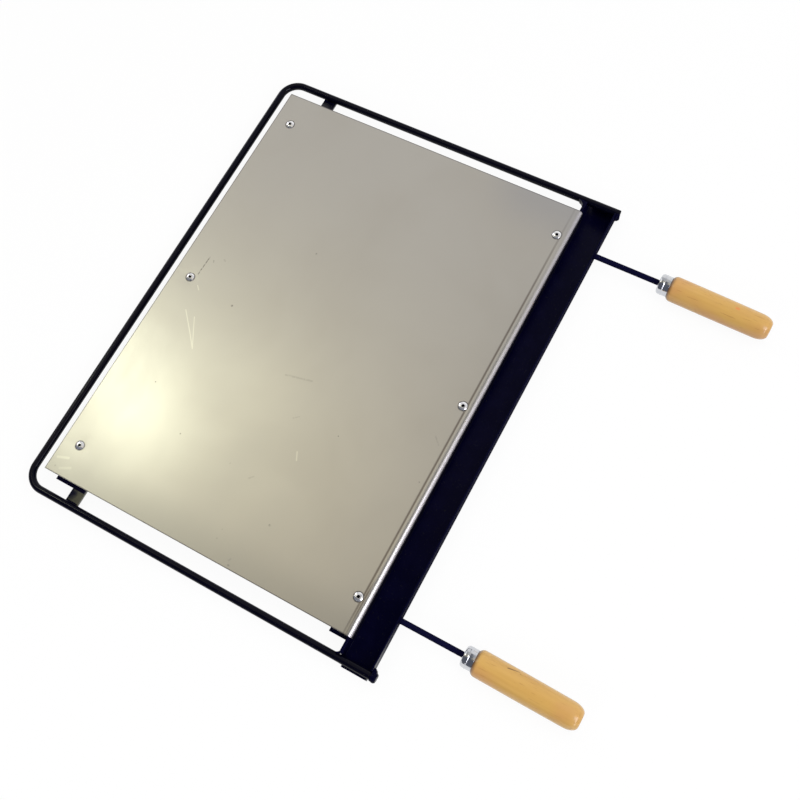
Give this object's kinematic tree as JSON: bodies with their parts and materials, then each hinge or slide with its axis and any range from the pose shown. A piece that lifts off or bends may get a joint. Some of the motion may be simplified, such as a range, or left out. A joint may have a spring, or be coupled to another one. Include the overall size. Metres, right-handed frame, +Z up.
{
  "type": "griddle plate with grease tray",
  "caption": "Flat stainless griddle plate riveted into a black bent-rod frame, with a trough for fat along the front and wooden handles.",
  "frame": {"origin": "centre of the footprint on the plane that the tray and the grips rest on", "axes": "+X along the long side, +Y from the handles to the back rod, +Z up"},
  "size_m": [0.554, 0.6089, 0.027],
  "materials": {
    "stainless_sheet": "satin, used",
    "black_paint": "gloss black",
    "plated_ferrule": "bright zinc",
    "varnished_wood": "glossy varnish",
    "rivet_aluminium": "bright",
    "mandrel_steel": "dull, dark"
  },
  "bodies": {
    "root": {"griddle_plate": "stainless_sheet", "frame_rod": "black_paint", "grease_tray": "black_paint", "tray_end_left": "black_paint", "tray_end_right": "black_paint", "rear_rail": "black_paint", "rear_strap": "black_paint", "front_rail": "black_paint", "handle_rod_left": "black_paint", "handle_rod_right": "black_paint", "ferrule_left": "plated_ferrule", "ferrule_right": "plated_ferrule", "grip_left": "varnished_wood", "grip_right": "varnished_wood", "rivet_back_left": "rivet_aluminium", "rivet_back_mid": "rivet_aluminium", "rivet_back_right": "rivet_aluminium", "rivet_front_left": "rivet_aluminium", "rivet_front_mid": "rivet_aluminium", "rivet_front_right": "rivet_aluminium", "mandrel_back_left": "mandrel_steel", "mandrel_back_mid": "mandrel_steel", "mandrel_back_right": "mandrel_steel", "mandrel_front_left": "mandrel_steel", "mandrel_front_mid": "mandrel_steel", "mandrel_front_right": "mandrel_steel", "weld_strap_left": "black_paint", "weld_strap_right": "black_paint", "weld_rear_left": "black_paint", "weld_rear_right": "black_paint", "weld_front_left": "black_paint", "weld_front_right": "black_paint", "weld_handle_left": "black_paint", "weld_handle_right": "black_paint"}
  },
  "joints": []
}
